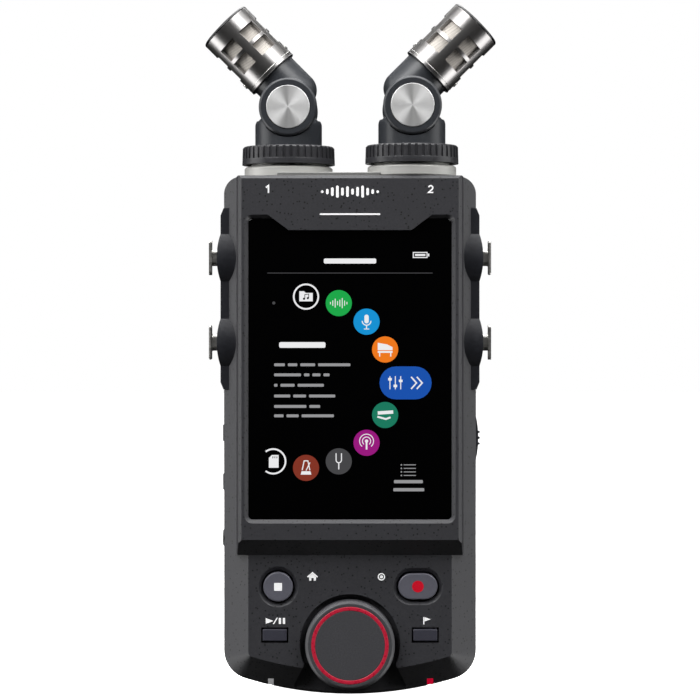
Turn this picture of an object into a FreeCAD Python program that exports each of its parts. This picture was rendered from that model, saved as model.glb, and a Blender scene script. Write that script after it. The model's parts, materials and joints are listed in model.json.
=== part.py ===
"""Portable field recorder with two tilting stereo microphones, as a parametric FreeCAD document.

Millimetres. +Z runs from the rounded foot to the microphones, the screen faces -Y and +X is the
right side as the user sees it. Heights in the sheet count from a level foot_drop above the lowest
point of the foot; the written files are raised by foot_drop, so that they stand on z = 0.
"""
import FreeCAD, Part
import Sketcher
import os
import re

V = FreeCAD.Vector

# Driving dimensions, one spreadsheet cell each.
CELLS = {
    # case shells
    "half_width": 38.0, "case_height": 154.2, "half_depth": 17.3, "base_radius": 108.0, "foot_drop": 1.5,
    "bottom_corner": 9.0, "top_corner": 5.0, "panel_setback": 4.5, "front_chamfer": 7.6,
    "rear_chamfer": 3.0, "skin": 2.0, "cavity_half": 35.2, "cavity_low": 12.5, "cavity_split": 48.0,
    "cavity_top": 151.7, "upper_low": 80.0,
    # raised screen block and glass
    "block_root": 34.1, "block_side": 33.3, "block_flat": 32.3, "block_low": 40.9,
    "block_slope": 4.8, "glass_half": 30.3, "glass_low": 51.7, "glass_top": 141.4,
    "notch_drop": 3.5, "notch_outer": 23.0, "notch_inner": 18.3, "glass_recess": 1.1,
    "glass_thick": 1.1, "glass_corner": 1.3, "fit_gap": 0.1,
    # combo jacks and side panels
    "jack_y": 3.7, "jack_low": 104.5, "jack_high": 130.0, "boss_radius": 12.6, "jack_radius": 11.4,
    "jack_bore": 11.6, "jack_face": 38.5, "jack_length": 29.0, "plug_radius": 3.25, "plug_depth": 20.0,
    "shell_inner": 7.9, "shell_outer": 9.7, "shell_depth": 13.0,
    "panel_out": 39.0, "panel_in": 33.1, "panel_low": 90.3, "panel_high": 144.9,
    "panel_front": -6.7, "panel_rear": 13.9, "boss_reach": 40.1,
    "latch_out": 42.5, "latch_plate": 0.9, "latch_half": 5.2, "latch_stem": 2.5,
    "latch_front": -7.0, "latch_rear": -3.4,
    # buttons and dial
    "home_x": -21.5, "home_z": 31.4, "home_radius": 4.45, "record_x": 20.3, "record_z": 31.5,
    "record_half": 1.975, "record_radius": 3.9, "button_gap": 0.5, "dish": 1.15,
    "small_x": 22.5, "small_z": 16.95, "small_wide": 7.25, "small_high": 3.6, "button_proud": 0.25,
    "dial_z": 14.2, "dial_radius": 13.4, "dial_recess": 15.0, "dial_front": -16.8,
    "dial_floor": -9.8, "shaft_radius": 3.0, "ring_outer": 11.5, "ring_inner": 10.45,
    # side controls and sockets
    "port_y": -2.8, "key_upper": 77.2, "key_lower": 62.5, "key_long": 5.0, "key_wide": 3.2,
    "key_proud": 0.35, "phones_z": 45.5, "line_z": 30.0, "mini_radius": 1.8, "mini_collar": 2.5,
    "mini_depth": 12.0, "slider_z": 75.7, "slider_long": 13.2, "slider_wide": 3.6,
    "slider_proud": 1.2, "slider_bulge": 0.75, "slider_arc": 30.0, "slider_travel": 2.0,
    "usb_z": 47.0, "card_z": 30.0, "aux_y": 8.0,
    # battery bay and back
    "bay_half": 30.2, "bay_low": 17.5, "bay_high": 76.5, "bay_floor": 0.8, "cell_radius": 7.2,
    "cell_long": 50.5, "cell_pitch": 15.0, "cell_low": 21.0, "door_thick": 1.8, "hinge_z": 18.7,
    "tripod_z": 86.0, "tripod_radius": 3.175, "tripod_depth": 8.0,
    # microphones
    "mic_x": 18.7, "mic_stagger": 3.3, "pivot_z": 175.45, "mic_splay": 45.0, "collar_radius": 13.4,
    "collar_high": 3.5, "neck_radius": 11.4, "neck_high": 6.6, "ring_radius": 14.1,
    "ring_low": 158.4, "ring_high": 163.9, "pedestal_radius": 10.15, "pedestal_drop": 2.4,
    "shoulder": 2.9, "ear_radius": 8.3, "ear_in": 3.8, "ear_out": 7.5, "disc_radius": 8.8,
    "disc_out": 10.6, "cap_radius": 6.53, "pin_radius": 2.0, "running_gap": 0.05,
    "arm_radius": 7.6, "arm_offset": 4.2, "arm_tail": 3.6, "arm_round": 5.5, "tongue_half": 3.4,
    "barrel_radius": 8.5, "barrel_start": 10.85, "barrel_end": 31.9, "barrel_wall": 1.1,
    "window_1_low": 16.6, "window_1_high": 21.0, "window_2_low": 22.15, "window_2_high": 26.55,
}

KNURLS = 42
SIDES = {"left": -1, "right": 1}

doc = FreeCAD.newDocument("field_recorder")
sheet = doc.addObject("Spreadsheet::Sheet", "dims")
for row, (alias, size) in enumerate(CELLS.items(), 1):
    sheet.set(f"A{row}", str(size))
    sheet.setAlias(f"A{row}", alias)
doc.recompute()

nodes = {}


# ---- helpers -------------------------------------------------------------------------------------

def bind(thing, prop, size):
    """Tie a property to an expression over the sheet's cells."""
    words = re.sub(r"[a-z][a-z_0-9]+",
                   lambda word: f"dims.{word[0]}" if word[0] in CELLS else word[0], str(size))
    thing.setExpression(prop, words)


def node(name, thing):
    """Register a finished sub-part under its file name."""
    thing.Label = name
    nodes[name] = thing
    return thing


def box(low_a, high_a, low_b, high_b):
    """Corners of a rectangle in a sketch."""
    return [(low_a, low_b), (high_a, low_b), (high_a, high_b), (low_a, high_b)]


def hold(sketch, kind, curve, point, size):
    """Fix a point's distance from the sketch's origin."""
    number = sketch.addConstraint(Sketcher.Constraint(kind, -1, 1, curve, point, 1.0))
    bind(sketch, f"Constraints[{number}]", size)


def draw_polygon(sketch, corners):
    count = len(corners)
    first = sketch.GeometryCount
    guess = [V(FreeCAD.Rotation(V(0, 0, 1), 360 * i / count).multVec(V(10, 0, 0))) for i in range(count)]
    for i in range(count):
        sketch.addGeometry(Part.LineSegment(guess[i], guess[(i + 1) % count]), False)
    for i, (a, b) in enumerate(corners):
        following = first + (i + 1) % count
        sketch.addConstraint(Sketcher.Constraint("Coincident", first + i, 2, following, 1))
        hold(sketch, "DistanceX", first + i, 1, a)
        hold(sketch, "DistanceY", first + i, 1, b)


def draw_circle(sketch, a, b, radius):
    curve = sketch.addGeometry(Part.Circle(V(1, 1, 0), V(0, 0, 1), 1), False)
    hold(sketch, "DistanceX", curve, 3, a)
    hold(sketch, "DistanceY", curve, 3, b)
    number = sketch.addConstraint(Sketcher.Constraint("Radius", curve, 1.0))
    bind(sketch, f"Constraints[{number}]", radius)


def new_sketch(body, plane, level="0"):
    sketch = body.newObject("Sketcher::SketchObject", "sketch")
    support = [part for part in body.Origin.OriginFeatures if part.Role == plane][0]
    sketch.AttachmentSupport = [(support, "")]
    sketch.MapMode = "FlatFace"
    bind(sketch, "AttachmentOffset.Base.z", level)
    return sketch


def slab(body, kind, plane, low, high, *loops):
    """Pad or pocket closed loops between two levels of the axis normal to the plane."""
    near, far = (f"-({high})", f"-({low})") if plane == "XZ_Plane" else (low, high)
    sketch = new_sketch(body, plane, near if kind == "Pad" else far)
    for loop in loops:
        if isinstance(loop, list):
            draw_polygon(sketch, loop)
        else:
            draw_circle(sketch, *loop)
    before = body.Shape.Volume if body.Tip else 0
    item = body.newObject("PartDesign::" + kind, kind)
    item.Profile = sketch
    bind(item, "Length", f"({high}) - ({low})")
    doc.recompute()
    change = body.Shape.Volume - before
    if (change <= 0) if kind == "Pad" else (change >= 0):
        raise ValueError(f"{body.Label}: {kind} between {low} and {high} changed nothing")
    return item


def dress(body, kind, size, choose):
    """Fillet or chamfer the edges of the body's last feature that the rule picks."""
    base = body.Tip
    names = [f"Edge{i}" for i, edge in enumerate(base.Shape.Edges, 1) if choose(edge)]
    if not names:
        raise ValueError(f"{body.Label}: no edge for {kind} {size}")
    item = body.newObject("PartDesign::" + kind, kind)
    item.Base = (base, names)
    bind(item, "Radius" if kind == "Fillet" else "Size", size)
    doc.recompute()
    return item


def new_body(name):
    return node(name, doc.addObject("PartDesign::Body", name))


def place(thing, x="0", y="0", z="0"):
    bind(thing, "Placement.Base.x", x)
    bind(thing, "Placement.Base.y", y)
    bind(thing, "Placement.Base.z", z)


def turned(name, axis, profile, x="0", y="0", z="0"):
    """A body revolved about X (points are x, r), Y (points are r, y) or Z (points are r, z)."""
    plane, line = {"X": ("XY_Plane", "H_Axis"), "Y": ("XY_Plane", "V_Axis"),
                   "Z": ("XZ_Plane", "V_Axis")}[axis]
    body = new_body(name)
    sketch = new_sketch(body, plane)
    draw_polygon(sketch, profile)
    item = body.newObject("PartDesign::Revolution", "Revolution")
    item.Profile = sketch
    item.ReferenceAxis = (sketch, [line])
    item.Angle = 360
    place(body, x, y, z)
    doc.recompute()
    return body


def brick(low_x, high_x, low_y, high_y, low_z, high_z):
    """A loose box between six planes."""
    item = doc.addObject("Part::Box", "brick")
    for prop, low, high in (("Length", low_x, high_x), ("Width", low_y, high_y), ("Height", low_z, high_z)):
        bind(item, prop, f"({high}) - ({low})")
    place(item, low_x, low_y, low_z)
    return item


AXES = {"X": FreeCAD.Rotation(V(0, 1, 0), 90), "Y": FreeCAD.Rotation(V(1, 0, 0), -90),
        "Z": FreeCAD.Rotation()}


def rod(axis, x, y, z, radius, length):
    """A loose cylinder that starts at a point and runs up its axis."""
    item = doc.addObject("Part::Cylinder", "rod")
    item.Placement = FreeCAD.Placement(V(), AXES[axis])
    bind(item, "Radius", radius)
    bind(item, "Height", length)
    place(item, x, y, z)
    return item


def joined(*parts):
    item = doc.addObject("Part::MultiFuse", "joined")
    item.Shapes = list(parts)
    item.Refine = True
    return item


def less(base, *tools):
    item = doc.addObject("Part::Cut", "less")
    item.Base = base
    item.Tool = joined(*tools) if len(tools) > 1 else tools[0]
    return item


def group(*parts):
    item = doc.addObject("Part::Compound", "group")
    item.Links = list(parts)
    return item


def flat_in_y(edge, level):
    bounds = edge.BoundBox
    return abs(bounds.YMin - level) < 0.01 and abs(bounds.YMax - level) < 0.01


def runs_along_y(edge):
    bounds = edge.BoundBox
    return bounds.XLength < 0.01 and bounds.ZLength < 0.01


# ---- case shells ---------------------------------------------------------------------------------

def case_blank(name, low, high, outer, chamfer):
    """Half of the case: straight sides, shallow round foot and a chamfer around the outer face."""
    body = new_body(name)
    slab(body, "Pad", "XZ_Plane", low, high, box("-half_width", "half_width", "-foot_drop", "case_height"))
    slab(body, "Pocket", "XZ_Plane", low, high, box("-160", "160", "-60", "260"),
         ("0", "base_radius - foot_drop", "base_radius"))
    dress(body, "Fillet", "bottom_corner", lambda edge: runs_along_y(edge) and edge.BoundBox.ZMin < 20)
    dress(body, "Chamfer", chamfer, lambda edge: flat_in_y(edge, outer) and edge.BoundBox.ZMin < 100)
    top = CELLS["case_height"]
    dress(body, "Fillet", "top_corner",
          lambda edge: runs_along_y(edge) and abs(edge.BoundBox.ZMin - top) < 0.01)
    return body


def side_cuts(body):
    """Openings for the side panels with their round bosses."""
    seat = "(panel_in - fit_gap)"
    panel = box("panel_front - fit_gap", "panel_rear + fit_gap",
                "panel_low - fit_gap", "panel_high + fit_gap")
    slab(body, "Pocket", "YZ_Plane", seat, "60", panel)
    slab(body, "Pocket", "YZ_Plane", "-60", f"-{seat}", panel)
    for level in ("jack_low", "jack_high"):
        slab(body, "Pocket", "YZ_Plane", seat, "60", ("jack_y", level, "boss_radius + fit_gap"))
        slab(body, "Pocket", "YZ_Plane", "-60", f"-{seat}", ("jack_y", level, "boss_radius + fit_gap"))


panel_face = "(panel_setback - half_depth)"
glass_shape = [("-glass_half", "glass_low"), ("glass_half", "glass_low"), ("glass_half", "glass_top"),
               ("notch_outer", "glass_top"), ("notch_inner", "glass_top - notch_drop"),
               ("-notch_inner", "glass_top - notch_drop"), ("-notch_outer", "glass_top"),
               ("-glass_half", "glass_top")]


def stadium_pockets(body, low, high, grow):
    """The record button's long hole: a straight middle with two round ends."""
    radius = f"record_radius + {grow}"
    middle = box("record_x - record_half", "record_x + record_half",
                 f"record_z - ({radius})", f"record_z + {radius}")
    slab(body, "Pocket", "XZ_Plane", low, high, middle)
    for end in ("record_x - record_half", "record_x + record_half"):
        slab(body, "Pocket", "XZ_Plane", low, high, (end, "record_z", radius))


def build_front_case():
    front = CELLS["panel_setback"] - CELLS["half_depth"]
    body = case_blank("front_case", panel_face, "0", front, "front_chamfer")
    root_y = "(panel_setback + front_chamfer - half_depth - half_width + block_root)"
    bevel_y = "(block_side - block_flat - half_depth)"
    plan = [("-block_root", "-6"), ("-block_root", root_y), ("-block_side", bevel_y),
            ("-block_flat", "-half_depth"), ("block_flat", "-half_depth"), ("block_side", bevel_y),
            ("block_root", root_y), ("block_root", "-6")]
    slab(body, "Pad", "XY_Plane", "block_low", "case_height", plan)
    under = [(panel_face, "block_low"), ("-half_depth - 1.5", "block_low + block_slope + 1.6"),
             ("-half_depth - 1.5", "block_low - 1"), (panel_face, "block_low - 1")]
    slab(body, "Pocket", "YZ_Plane", "-60", "60", under)
    outer, top = -CELLS["half_depth"], CELLS["case_height"]
    dress(body, "Chamfer", "0.9", lambda edge: flat_in_y(edge, outer) and edge.BoundBox.ZMin > top - 0.01)

    # hollow inside, shallower behind the control panel
    lower = [("-cavity_half", "5"), ("-cavity_half", "-5.2"), ("-cavity_half + 2.8", "-8"),
             ("cavity_half - 2.8", "-8"), ("cavity_half", "-5.2"), ("cavity_half", "5")]
    slab(body, "Pocket", "XY_Plane", "cavity_low", "cavity_split", lower)
    inner = "-half_depth + skin"
    upper = [("-cavity_half", "5"), ("-cavity_half", "-4.8"), ("-31.2", "-8.8"), ("-31.2", inner),
             ("31.2", inner), ("31.2", "-8.8"), ("cavity_half", "-4.8"), ("cavity_half", "5")]
    slab(body, "Pocket", "XY_Plane", "cavity_split", "cavity_top", upper)

    # window for the glass, with its bevel
    slab(body, "Pocket", "XZ_Plane", "-half_depth", "-half_depth + 2.5", glass_shape)
    side = CELLS["glass_half"]
    dress(body, "Fillet", "glass_corner",
          lambda edge: runs_along_y(edge) and abs(abs(edge.BoundBox.XMin) - side) < 0.01
          and edge.BoundBox.YMax < -14)
    dress(body, "Chamfer", "glass_recess",
          lambda edge: flat_in_y(edge, outer) and edge.BoundBox.XLength < 0.01
          and abs(edge.BoundBox.XMin) < side + 0.1)

    # side openings and room for the combo jacks
    side_cuts(body)
    for level in ("jack_low", "jack_high"):
        slab(body, "Pocket", "YZ_Plane", "5", "60", ("jack_y", level, "jack_bore"))
        slab(body, "Pocket", "YZ_Plane", "-60", "-5", ("jack_y", level, "jack_bore"))

    # dial recess, thumb scoop and encoder room
    slab(body, "Pocket", "XZ_Plane", "-half_depth - 1", "dial_floor", ("0", "dial_z", "dial_recess"))
    scoop = [("-13.6", "8.3"), ("-16.9", "1.2"), ("-17.6", "-3"),
             ("17.6", "-3"), ("16.9", "1.2"), ("13.6", "8.3")]
    slab(body, "Pocket", "XZ_Plane", "-half_depth - 1", "-6", scoop)
    slab(body, "Pocket", "XZ_Plane", "dial_floor - 1", "0", ("0", "dial_z", "shaft_radius + 0.5"))
    slab(body, "Pocket", "XZ_Plane", "-8", "0", box("-6.5", "6.5", "dial_z - 5.2", "dial_z + 5.2"))

    # button holes; the round and the long one sit in shallow dishes
    slab(body, "Pocket", "XZ_Plane", "-half_depth", "-7", ("home_x", "home_z", "home_radius + button_gap"))
    stadium_pockets(body, "-half_depth", "-7", "button_gap")
    dress(body, "Chamfer", "dish", lambda edge: flat_in_y(edge, front) and 26 < edge.BoundBox.ZMin
          and edge.BoundBox.ZMax < 38 and abs(edge.BoundBox.XMax) < 29)
    for sign in ("-", ""):
        hole = box(f"{sign}small_x - small_wide / 2 - 0.43", f"{sign}small_x + small_wide / 2 + 0.43",
                   "small_z - small_high / 2 - 0.5", "small_z + small_high / 2 + 0.5")
        slab(body, "Pocket", "XZ_Plane", "-half_depth", "-7", hole)

    # slots for the two light pipes at the foot
    for low, high in (("-24.75", "-22.95"), ("23.15", "25.15")):
        slab(body, "Pocket", "XZ_Plane", "-12", "-4.2", box(low, high, "0.5", "3.35"))

    # left side: two keys and two mini jacks; right side: slider, data port and card slot
    slot = "(key_long / 2 + 0.15)"
    for level in ("key_upper", "key_lower"):
        slab(body, "Pocket", "YZ_Plane", "-60", "-34",
             box("port_y - key_wide / 2 - 0.15", "port_y + key_wide / 2 + 0.15",
                 f"{level} - {slot}", f"{level} + {slot}"))
    for level in ("phones_z", "line_z"):
        slab(body, "Pocket", "YZ_Plane", "-60", "-34", ("port_y", level, "mini_collar + 0.1"))
    reach = "slider_long / 2 + slider_travel + 0.3"
    slab(body, "Pocket", "YZ_Plane", "34", "60",
         box("port_y - slider_wide / 2 - 0.15", "port_y + slider_wide / 2 + 0.15",
             f"slider_z - ({reach})", f"slider_z + {reach}"))
    slab(body, "Pocket", "YZ_Plane", "34", "60",
         box("port_y - 1.75", "port_y + 1.75", "usb_z - 4.75", "usb_z + 4.75"))
    slab(body, "Pocket", "YZ_Plane", "34", "60",
         box("port_y - 1.1", "port_y + 1.1", "card_z - 6.1", "card_z + 6.1"))


def build_rear_case():
    body = case_blank("rear_case", "0", "half_depth", CELLS["half_depth"], "rear_chamfer")
    slab(body, "Pocket", "XY_Plane", "upper_low", "cavity_top",
         box("-cavity_half", "cavity_half", "-5", "half_depth - skin"))
    slab(body, "Pocket", "XZ_Plane", "bay_floor", "60", box("-bay_half", "bay_half", "bay_low", "bay_high"))
    slab(body, "Pocket", "YZ_Plane", "-31.4", "31.4", ("half_depth - door_thick / 2", "hinge_z", "0.55"))
    side_cuts(body)
    slab(body, "Pocket", "XZ_Plane", "0", "60", ("0", "tripod_z", "5.6"))
    slab(body, "Pocket", "XY_Plane", "140", "170", ("0", "aux_y", "mini_collar + 0.1"))
    for x, z in screw_places:
        slab(body, "Pocket", "XZ_Plane", "half_depth - 1.5", "60", (x, z, "2.3"))
        slab(body, "Pocket", "XZ_Plane", "0.5", "60", (x, z, "1.3"))
    slots = [box(f"{x} - 0.6", f"{x} + 0.6", "tripod_z - 4.5", "tripod_z + 4.5") for x in range(13, 29, 3)]
    slab(body, "Pocket", "XZ_Plane", "10", "60", *slots)


screw_places = [(sign + x, z) for sign in ("-", "")
                for x, z in (("32.6", "148"), ("33.4", "84"), ("32.6", "14.5"))]
build_front_case()
build_rear_case()


def build_side_panel(side, sign):
    """Side plate with the two jack bosses; each boss swells outwards at its front."""
    def span(low, high):
        return (low, high) if sign > 0 else (f"-({high})", f"-({low})")

    body = new_body(f"side_panel_{side}")
    plate = [("panel_in", "panel_low"), ("panel_out - 0.9", "panel_low"), ("panel_out", "panel_low + 2.2"),
             ("panel_out", "panel_high - 2.2"), ("panel_out - 0.9", "panel_high"), ("panel_in", "panel_high")]
    slab(body, "Pad", "XZ_Plane", "panel_front", "panel_rear", [(f"{sign} * ({a})", b) for a, b in plate])
    for level in ("jack_low", "jack_high"):
        slab(body, "Pad", "YZ_Plane", *span("panel_in", "boss_reach"), ("jack_y", level, "boss_radius"))
    boss_front = "(jack_y - boss_radius)"
    rear = [("panel_out", "60"), ("panel_out", "panel_front"), ("boss_reach", f"{boss_front} - 0.05"),
            ("60", f"{boss_front} - 0.05"), ("60", "60")]
    slab(body, "Pocket", "XY_Plane", "50", "170", [(f"{sign} * ({a})", b) for a, b in rear])
    for level in ("jack_low", "jack_high"):
        slab(body, "Pocket", "YZ_Plane", *span("30", "60"), ("jack_y", level, "jack_bore"))


for side, sign in SIDES.items():
    build_side_panel(side, sign)

top_blank = brick("-mic_x - 3.1", "mic_x + 3.1", "-13", "13", "case_height", "case_height + 1.2")
top_holes = [rod("Z", f"{sign} * mic_x", f"{-sign} * mic_stagger", "150", "collar_radius + 0.15", "10")
             for sign in SIDES.values()]
node("top_plate", less(top_blank, *top_holes, rod("Z", "0", "aux_y", "150", "mini_collar + 0.1", "10")))


# ---- screen and boards ---------------------------------------------------------------------------

glass = new_body("screen_glass")
shrunk = [(f"({a}) * (glass_half - fit_gap) / glass_half",
           f"{b} + fit_gap" if b == "glass_low" else f"{b} - fit_gap") for a, b in glass_shape]
slab(glass, "Pad", "XZ_Plane", "-half_depth + glass_recess",
     "-half_depth + glass_recess + glass_thick", shrunk)
dress(glass, "Fillet", "glass_corner", lambda edge: runs_along_y(edge) and abs(edge.BoundBox.XMin) > 30)

node("lcd_module",
     brick("-29.8", "29.8", "-half_depth + glass_recess + glass_thick + 0.05", "-11.4", "50", "143"))
node("main_board", less(brick("-31", "31", "-9.8", "-8.3", "50", "150"),
                        brick("-40", "-29", "-10", "-8", "88", "146"),
                        brick("29", "40", "-10", "-8", "88", "146")))
domes = [rod("Y", x, "-6.3", z, "2.4", "1.4") for x, z in
         (("home_x", "home_z"), ("record_x", "record_z"), ("-small_x", "small_z"), ("small_x", "small_z"))]
board = less(brick("-24", "24", "-5", "-3.6", "13.5", "46"), brick("-7", "7", "-6", "-3", "8", "21"))
node("control_board", joined(board, *domes))
node("dial_encoder", joined(brick("-6", "6", "-7.9", "-3.6", "dial_z - 4.8", "dial_z + 4.8"),
                            rod("Y", "0", "-13.6", "dial_z", "shaft_radius", "6")))


# ---- light pipes ---------------------------------------------------------------------------------

for side, low, high in (("left", "-24.65", "-23.05"), ("right", "23.25", "25.05")):
    lens = new_body(f"status_lens_{side}")
    slab(lens, "Pad", "YZ_Plane", low, high,
         [("-4.3", "1.4"), ("-5.5", "1.4"), ("-7.35", "3.25"), ("-4.3", "3.25")])


# ---- combo jacks and their latches ---------------------------------------------------------------

jack_spots = {1: (-1, "jack_high"), 2: (1, "jack_high"), 3: (-1, "jack_low"), 4: (1, "jack_low")}


def build_combo_jack(number, sign, level):
    """Round socket: ring groove for the plug's shell, three contact holes, centre bore and latch slot."""
    def at(depth):
        return f"{sign} * (jack_face - {depth})"

    profile = [(at("jack_length"), "0"), (at("jack_length"), "jack_radius"), (at("0"), "jack_radius"),
               (at("0"), "shell_outer"), (at("shell_depth"), "shell_outer"),
               (at("shell_depth"), "shell_inner"), (at("0.6"), "shell_inner"), (at("0.6"), "plug_radius"),
               (at("plug_depth"), "plug_radius"), (at("plug_depth"), "0")]
    body = turned(f"combo_jack_{number}", "X", profile, "0", "jack_y", level)
    low, high = ("26", "60") if sign > 0 else ("-60", "-26")
    for a, b in (("0", "-5.6"), ("-5.3", "2.2"), ("5.3", "2.2")):
        slab(body, "Pocket", "YZ_Plane", low, high, (b, a, "1.3"))
    low, high = ("31.2", "60") if sign > 0 else ("-60", "-31.2")
    slab(body, "Pocket", "YZ_Plane", low, high, box("-11.8", "-7.3", "-latch_stem - 0.3", "latch_stem + 0.3"))


def rounded_along_x(item, radius):
    """The same block with its four long edges along X rounded."""
    rounded = doc.addObject("Part::Fillet", "rounded")
    rounded.Base = item
    doc.recompute()
    rounded.Edges = [(i, radius, radius) for i, edge in enumerate(item.Shape.Edges, 1)
                     if edge.BoundBox.XLength > 0.5]
    return rounded


def build_latch(number, sign, level):
    """Steel release tab: a stem from inside the jack with a taller plate at its outer end."""
    inner, outer = ("33.6", "latch_out") if sign > 0 else ("-latch_out", "-33.6")
    ends = (("latch_out - latch_plate", "latch_out") if sign > 0
            else ("-latch_out", "-latch_out + latch_plate"))
    stem = brick(inner, outer, "latch_front + 0.4", "latch_rear - 0.6",
                 f"{level} - latch_stem", f"{level} + latch_stem")
    plate = brick(*ends, "latch_front", "latch_rear", f"{level} - latch_half", f"{level} + latch_half")
    node(f"jack_latch_{number}", joined(rounded_along_x(stem, 1.2), rounded_along_x(plate, 0.8)))


for number, (sign, level) in jack_spots.items():
    build_combo_jack(number, sign, level)
    build_latch(number, sign, level)


# ---- mini jacks, data port and card slot ---------------------------------------------------------

def mini_jack(name, sleeve, bore, housing):
    """A 3.5 mm socket: housing and collar with one blind bore."""
    node(name, less(joined(sleeve, housing), bore))


for name, level in (("headphone_jack", "phones_z"), ("line_out_jack", "line_z")):
    reach = "half_width + key_proud" if level == "phones_z" else "half_width"
    mini_jack(name, rod("X", f"-({reach})", "port_y", level, "mini_collar", "4"),
              rod("X", "-60", "port_y", level, "mini_radius", "60 - half_width + mini_depth"),
              brick("-35.1", "-24.5", "port_y - 2.4", "port_y + 2.4", f"{level} - 2.4", f"{level} + 2.4"))
mini_jack("aux_in_jack", rod("Z", "0", "aux_y", "case_height - 3", "mini_collar", "4.2"),
          rod("Z", "0", "aux_y", "case_height + 1.2 - mini_depth", "mini_radius", "30"),
          brick("-3", "3", "aux_y - 3", "aux_y + 3", "142", "151.6"))
node("usb_port", less(brick("30", "37.5", "port_y - 1.6", "port_y + 1.6", "usb_z - 4.6", "usb_z + 4.6"),
                      brick("31", "40", "port_y - 1.3", "port_y + 1.3", "usb_z - 4.3", "usb_z + 4.3")))
node("card_slot", less(brick("24.2", "37.3", "port_y - 0.95", "port_y + 0.95", "card_z - 6", "card_z + 6"),
                       brick("25.2", "40", "port_y - 0.45", "port_y + 0.45", "card_z - 5.6", "card_z + 5.6")))


# ---- side controls -------------------------------------------------------------------------------

for name, level in (("volume_up_key", "key_upper"), ("volume_down_key", "key_lower")):
    cap = brick("-half_width - key_proud", "-34.2", "port_y - key_wide / 2", "port_y + key_wide / 2",
                f"{level} - key_long / 2", f"{level} + key_long / 2")
    flange = brick("-34.9", "-33.9", "port_y - key_wide / 2 - 0.5", "port_y + key_wide / 2 + 0.5",
                   f"{level} - key_long / 2 - 0.6", f"{level} + key_long / 2 + 0.6")
    node(name, joined(cap, flange))

slider = doc.addObject("Part::Common", "slider")
slider.Base = brick("34.2", "half_width + 2", "port_y - slider_wide / 2", "port_y + slider_wide / 2",
                    "slider_z - slider_long / 2", "slider_z + slider_long / 2")
slider.Tool = rod("Y", "half_width + slider_bulge - slider_arc", "port_y - slider_wide", "slider_z",
                  "slider_arc", "slider_wide * 2")
ridges = [brick("half_width", "half_width + slider_proud", "port_y - slider_wide / 2",
                "port_y + slider_wide / 2", f"slider_z - 0.3 + {offset}", f"slider_z + 0.3 + {offset}")
          for offset in (-1.75, 0, 1.75)]
runner = brick("33", "34.9", "port_y - slider_wide / 2 - 0.5", "port_y + slider_wide / 2 + 0.5",
               "slider_z - 5", "slider_z + 5")
node("power_slider", joined(slider, runner, *ridges))


# ---- front buttons and dial ----------------------------------------------------------------------

button_face = f"({panel_face} - button_proud)"
button_length = f"-8.1 - {button_face}"
stem = rod("Y", "home_x", button_face, "home_z", "home_radius", button_length)
node("home_button", joined(stem, rod("Y", "home_x", "-7.9", "home_z", "home_radius + 1.1", "0.8"),
                           rod("Y", "home_x", "-8.2", "home_z", "home_radius", "0.6")))


def long_prism(front, length, radius):
    """A stadium-shaped prism on the record button's centre."""
    ends = [rod("Y", f"record_x {way} record_half", front, "record_z", radius, length) for way in ("-", "+")]
    middle = brick("record_x - record_half", "record_x + record_half", front, f"({front}) + {length}",
                   f"record_z - ({radius})", f"record_z + {radius}")
    return joined(middle, *ends)


node("record_button", joined(long_prism(button_face, "5.5", "record_radius"),
                             long_prism("-7.9", "0.8", "record_radius + 1.1")))
for name, sign in (("play_button", "-"), ("mark_button", "")):
    cap = brick(f"{sign}small_x - small_wide / 2", f"{sign}small_x + small_wide / 2", button_face, "-7.5",
                "small_z - small_high / 2", "small_z + small_high / 2")
    flange = brick(f"{sign}small_x - small_wide / 2 - 1", f"{sign}small_x + small_wide / 2 + 1",
                   "-7.9", "-7.1", "small_z - small_high / 2 - 1", "small_z + small_high / 2 + 1")
    node(name, joined(cap, flange))

dial_back = "dial_floor - 0.3"
turned("data_dial", "Y",
       [("shaft_radius + running_gap", dial_back), ("dial_radius - 0.4", dial_back),
        ("dial_radius", "dial_floor - 0.7"), ("dial_radius", "dial_front + 0.9"),
        ("dial_radius - 0.9", "dial_front"), ("ring_outer + 0.02", "dial_front"),
        ("ring_outer + 0.02", "dial_front + 1"), ("ring_inner - 0.02", "dial_front + 1"),
        ("ring_inner - 0.02", "dial_front"), ("0", "dial_front"), ("0", "-13.8"),
        ("shaft_radius + running_gap", "-13.8")],
       "0", "0", "dial_z")
turned("dial_light_ring", "Y",
       [("ring_inner", "dial_front + 0.95"), ("ring_inner", "dial_front - 0.05"),
        ("ring_outer", "dial_front - 0.05"), ("ring_outer", "dial_front + 0.95")], "0", "0", "dial_z")


# ---- battery bay, speaker, tripod insert and screws ----------------------------------------------

cell_y = "bay_floor + 0.15 + cell_radius"
rows = [-1.5, -0.5, 0.5, 1.5]
cells = [joined(rod("Z", f"{i} * cell_pitch", cell_y, "cell_low", "cell_radius", "cell_long - 1.2"),
                rod("Z", f"{i} * cell_pitch", cell_y, "cell_low", "2.7", "cell_long")) for i in rows]
node("battery_cells", group(*cells))
lower_contacts = [brick(f"{i} * cell_pitch - 5", f"{i} * cell_pitch + 5", "2.5", "13.5",
                        "bay_low + 0.1", "cell_low - 0.1") for i in rows]
upper_contacts = [brick(f"{i} * cell_pitch - 5", f"{i} * cell_pitch + 5", "2.5", "13.5",
                        "cell_low + cell_long + 0.1", "bay_high - 0.1") for i in rows]
node("battery_contacts", group(*lower_contacts, *upper_contacts))

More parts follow.
